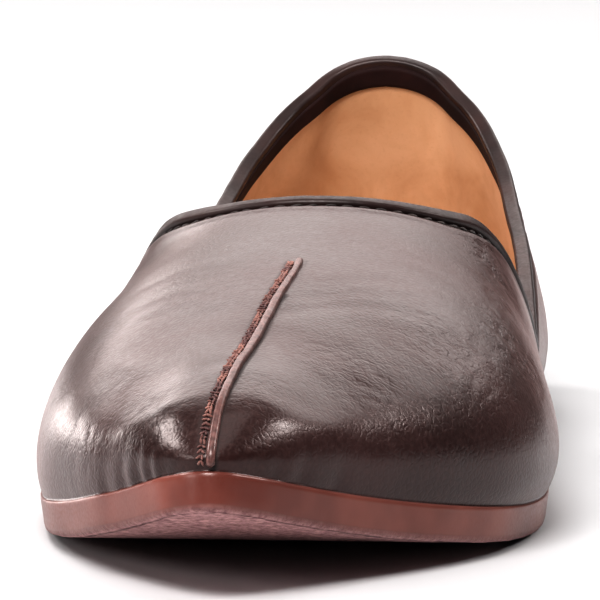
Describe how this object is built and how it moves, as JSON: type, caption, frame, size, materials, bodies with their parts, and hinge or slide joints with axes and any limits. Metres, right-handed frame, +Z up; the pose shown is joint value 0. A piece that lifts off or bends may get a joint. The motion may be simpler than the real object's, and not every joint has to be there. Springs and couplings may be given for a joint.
{
  "type": "slip-on shoe",
  "caption": "Men's slip-on leather jutti with a pointed toe, low cut sides, rolled edges, a stitched centre seam and a thin sprung sole.",
  "frame": {"origin": "centre of the whole shoe in X and Y, on the floor it stands on", "axes": "+Z up, toe towards -Y, heel towards +Y, +X towards the outer side of this left shoe"},
  "size_m": [0.0883, 0.2878, 0.0653],
  "materials": {
    "sole": "smooth satin side wall, rough underside",
    "upper_leather": "satin, fine grain",
    "sock_leather": "matt",
    "edge_leather": "satin"
  },
  "bodies": {
    "root": {"outsole": "sole", "upper": "upper_leather", "insole": "sock_leather", "throat_binding": "edge_leather", "collar_binding": "edge_leather"}
  },
  "joints": []
}
